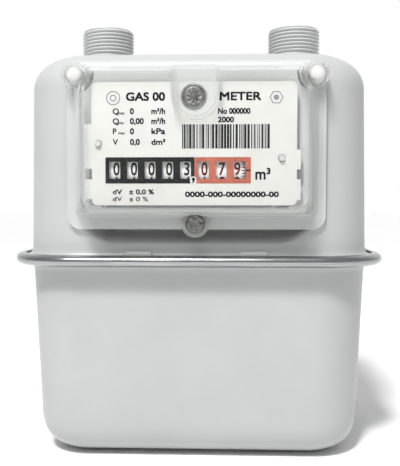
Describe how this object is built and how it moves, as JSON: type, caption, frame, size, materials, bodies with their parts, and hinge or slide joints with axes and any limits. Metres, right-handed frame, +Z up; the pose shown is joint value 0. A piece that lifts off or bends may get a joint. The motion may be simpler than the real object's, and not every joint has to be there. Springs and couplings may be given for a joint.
{
  "type": "diaphragm gas meter",
  "caption": "Domestic diaphragm gas meter: two clamped steel shells with threaded unions on top, a drum counter behind a clear cover, and the measuring unit inside.",
  "frame": {"origin": "middle of the flat base on which the meter stands", "axes": "+Z up along the pipe unions, -Y out of the front where the index is, +X to the right when seen from the front"},
  "size_m": [0.196, 0.171, 0.2344],
  "materials": {
    "paint": "smooth satin powder coat, pale grey",
    "band_steel": "bright rolled zinc-coated strip",
    "rubber": "matt black",
    "clear_plastic": "clear injection-moulded plastic, glossy",
    "grey_plastic": "fine textured grey",
    "white_plastic": "smooth white",
    "drum_plastic": "smooth off-white",
    "steel": "turned or drawn steel",
    "brass": "machined",
    "lead": "pressed soft grey metal",
    "unit_plastic": "moulded dark grey",
    "membrane": "rubberised cloth",
    "zinc_plate": "zinc-coated pressed sheet"
  },
  "bodies": {
    "casing": {"upper_case": "paint", "lower_case": "paint", "clamp_band": "band_steel", "case_gasket": "rubber", "inlet_union": "paint", "outlet_union": "paint", "index_base": "grey_plastic", "counter_frame": "zinc_plate", "dial_plate": "white_plastic", "index_cover": "clear_plastic", "drum_axle": "steel", "pinion_axle": "steel", "cover_stud_left": "steel", "cover_stud_right": "steel", "stud_cap_left": "white_plastic", "stud_cap_right": "white_plastic", "top_seal_screw": "steel", "top_seal": "lead", "bottom_seal_screw": "steel", "bottom_seal": "lead", "gland_bush": "brass", "measuring_body": "unit_plastic", "valve_plate": "unit_plastic", "outlet_duct": "unit_plastic", "outlet_seal_ring": "rubber", "support_cradle": "zinc_plate", "chamber_cover_left": "unit_plastic", "diaphragm_left": "membrane", "chamber_cover_right": "unit_plastic", "diaphragm_right": "membrane"},
    "number_drum_8": {"number_drum_8": "drum_plastic", "input_bevel": "white_plastic"},
    "number_drum_7": {"number_drum_7": "drum_plastic"},
    "transfer_pinion_7": {"transfer_pinion_7": "white_plastic"},
    "number_drum_6": {"number_drum_6": "drum_plastic"},
    "transfer_pinion_6": {"transfer_pinion_6": "white_plastic"},
    "number_drum_5": {"number_drum_5": "drum_plastic"},
    "transfer_pinion_5": {"transfer_pinion_5": "white_plastic"},
    "number_drum_4": {"number_drum_4": "drum_plastic"},
    "transfer_pinion_4": {"transfer_pinion_4": "white_plastic"},
    "number_drum_3": {"number_drum_3": "drum_plastic"},
    "transfer_pinion_3": {"transfer_pinion_3": "white_plastic"},
    "number_drum_2": {"number_drum_2": "drum_plastic"},
    "transfer_pinion_2": {"transfer_pinion_2": "white_plastic"},
    "number_drum_1": {"number_drum_1": "drum_plastic"},
    "transfer_pinion_1": {"transfer_pinion_1": "white_plastic"},
    "idler": {"idler_shaft": "steel", "change_pinion": "brass"},
    "drive": {"drive_shaft": "steel", "change_gear": "brass", "worm_wheel": "white_plastic"},
    "crank": {"crank": "unit_plastic"},
    "flag_left": {"flag_rod_left": "steel"},
    "plate_left": {"diaphragm_plate_left": "zinc_plate"},
    "link_left": {"link_arm_left": "zinc_plate"},
    "valve_left": {"valve_cover_left": "white_plastic"},
    "flag_right": {"flag_rod_right": "steel"},
    "plate_right": {"diaphragm_plate_right": "zinc_plate"},
    "link_right": {"link_arm_right": "zinc_plate"},
    "valve_right": {"valve_cover_right": "white_plastic"}
  },
  "joints": [
    {"name": "number_drum_8_spin", "type": "hinge", "parent": "casing", "child": "number_drum_8", "pos_m": [0.0212, -0.0718, 0.1488], "axis": [-1, 0, 0], "continuous": true},
    {"name": "number_drum_7_spin", "type": "hinge", "parent": "casing", "child": "number_drum_7", "pos_m": [0.0127, -0.0718, 0.1488], "axis": [-1, 0, 0], "continuous": true},
    {"name": "transfer_pinion_7_spin", "type": "hinge", "parent": "casing", "child": "transfer_pinion_7", "pos_m": [0.01695, -0.0718, 0.1613], "axis": [-1, 0, 0], "continuous": true},
    {"name": "number_drum_6_spin", "type": "hinge", "parent": "casing", "child": "number_drum_6", "pos_m": [0.0042, -0.0718, 0.1488], "axis": [-1, 0, 0], "continuous": true},
    {"name": "transfer_pinion_6_spin", "type": "hinge", "parent": "casing", "child": "transfer_pinion_6", "pos_m": [0.00845, -0.0718, 0.1613], "axis": [-1, 0, 0], "continuous": true},
    {"name": "number_drum_5_spin", "type": "hinge", "parent": "casing", "child": "number_drum_5", "pos_m": [-0.0043, -0.0718, 0.1488], "axis": [-1, 0, 0], "continuous": true},
    {"name": "transfer_pinion_5_spin", "type": "hinge", "parent": "casing", "child": "transfer_pinion_5", "pos_m": [-0.00005, -0.0718, 0.1613], "axis": [-1, 0, 0], "continuous": true},
    {"name": "number_drum_4_spin", "type": "hinge", "parent": "casing", "child": "number_drum_4", "pos_m": [-0.0128, -0.0718, 0.1488], "axis": [-1, 0, 0], "continuous": true},
    {"name": "transfer_pinion_4_spin", "type": "hinge", "parent": "casing", "child": "transfer_pinion_4", "pos_m": [-0.00855, -0.0718, 0.1613], "axis": [-1, 0, 0], "continuous": true},
    {"name": "number_drum_3_spin", "type": "hinge", "parent": "casing", "child": "number_drum_3", "pos_m": [-0.0213, -0.0718, 0.1488], "axis": [-1, 0, 0], "continuous": true},
    {"name": "transfer_pinion_3_spin", "type": "hinge", "parent": "casing", "child": "transfer_pinion_3", "pos_m": [-0.01705, -0.0718, 0.1613], "axis": [-1, 0, 0], "continuous": true},
    {"name": "number_drum_2_spin", "type": "hinge", "parent": "casing", "child": "number_drum_2", "pos_m": [-0.0298, -0.0718, 0.1488], "axis": [-1, 0, 0], "continuous": true},
    {"name": "transfer_pinion_2_spin", "type": "hinge", "parent": "casing", "child": "transfer_pinion_2", "pos_m": [-0.02555, -0.0718, 0.1613], "axis": [-1, 0, 0], "continuous": true},
    {"name": "number_drum_1_spin", "type": "hinge", "parent": "casing", "child": "number_drum_1", "pos_m": [-0.0383, -0.0718, 0.1488], "axis": [-1, 0, 0], "continuous": true},
    {"name": "transfer_pinion_1_spin", "type": "hinge", "parent": "casing", "child": "transfer_pinion_1", "pos_m": [-0.03405, -0.0718, 0.1613], "axis": [-1, 0, 0], "continuous": true},
    {"name": "idler_spin", "type": "hinge", "parent": "casing", "child": "idler", "pos_m": [0.0312, -0.0592, 0.1488], "axis": [0, 1, 0], "continuous": true},
    {"name": "drive_spin", "type": "hinge", "parent": "casing", "child": "drive", "pos_m": [0.013, -0.0592, 0.15271], "axis": [0, 1, 0], "continuous": true},
    {"name": "crank_spin", "type": "hinge", "parent": "casing", "child": "crank", "pos_m": [0, -0.008, 0.1533], "axis": [0, 0, 1], "continuous": true},
    {"name": "flag_left_swing", "type": "hinge", "parent": "casing", "child": "flag_left", "pos_m": [-0.022, 0.044, 0.12], "axis": [0, 0, 1], "range_deg": [-18, 18]},
    {"name": "plate_left_slide", "type": "slide", "parent": "casing", "child": "plate_left", "axis": [1, 0, 0], "range_m": [-0.0142, 0.0142]},
    {"name": "link_left_turn", "type": "hinge", "parent": "flag_left", "child": "link_left", "pos_m": [-0.0269, 0.0189, 0.1715], "axis": [0, 0, 1], "range_deg": [-18.5, 18.5]},
    {"name": "valve_left_slide", "type": "slide", "parent": "casing", "child": "valve_left", "axis": [0, 1, 0], "range_m": [-0.005, 0.005]},
    {"name": "flag_right_swing", "type": "hinge", "parent": "casing", "child": "flag_right", "pos_m": [0.022, 0.044, 0.12], "axis": [0, 0, 1], "range_deg": [-18, 18]},
    {"name": "plate_right_slide", "type": "slide", "parent": "casing", "child": "plate_right", "axis": [1, 0, 0], "range_m": [-0.0142, 0.0142]},
    {"name": "link_right_turn", "type": "hinge", "parent": "flag_right", "child": "link_right", "pos_m": [0.0269, 0.0189, 0.1715], "axis": [0, 0, 1], "range_deg": [-18.5, 18.5]},
    {"name": "valve_right_slide", "type": "slide", "parent": "casing", "child": "valve_right", "axis": [0, 1, 0], "range_m": [-0.005, 0.005]}
  ],
  "couplings": [
    {"joint": "number_drum_7_spin", "follows": "number_drum_8_spin", "ratio": 0.1},
    {"joint": "transfer_pinion_7_spin", "follows": "number_drum_8_spin", "ratio": -0.25},
    {"joint": "number_drum_6_spin", "follows": "number_drum_8_spin", "ratio": 0.01},
    {"joint": "transfer_pinion_6_spin", "follows": "number_drum_8_spin", "ratio": -0.025},
    {"joint": "number_drum_5_spin", "follows": "number_drum_8_spin", "ratio": 0.001},
    {"joint": "transfer_pinion_5_spin", "follows": "number_drum_8_spin", "ratio": -0.0025},
    {"joint": "number_drum_4_spin", "follows": "number_drum_8_spin", "ratio": 0.0001},
    {"joint": "transfer_pinion_4_spin", "follows": "number_drum_8_spin", "ratio": -0.00025},
    {"joint": "number_drum_3_spin", "follows": "number_drum_8_spin", "ratio": 0.00001},
    {"joint": "transfer_pinion_3_spin", "follows": "number_drum_8_spin", "ratio": -0.000025},
    {"joint": "number_drum_2_spin", "follows": "number_drum_8_spin", "ratio": 0.000001},
    {"joint": "transfer_pinion_2_spin", "follows": "number_drum_8_spin", "ratio": -0.0000025},
    {"joint": "number_drum_1_spin", "follows": "number_drum_8_spin", "ratio": 0.0000001},
    {"joint": "transfer_pinion_1_spin", "follows": "number_drum_8_spin", "ratio": -0.00000025},
    {"joint": "idler_spin", "follows": "number_drum_8_spin", "ratio": -1},
    {"joint": "drive_spin", "follows": "number_drum_8_spin", "ratio": 0.41667},
    {"joint": "crank_spin", "follows": "number_drum_8_spin", "ratio": -8.3333},
    {"joint": "plate_left_slide", "follows": "flag_left_swing", "m_per_rad": 0.044},
    {"joint": "link_left_turn", "follows": "flag_left_swing", "ratio": -1},
    {"joint": "plate_right_slide", "follows": "flag_right_swing", "m_per_rad": 0.044},
    {"joint": "link_right_turn", "follows": "flag_right_swing", "ratio": -1}
  ]
}
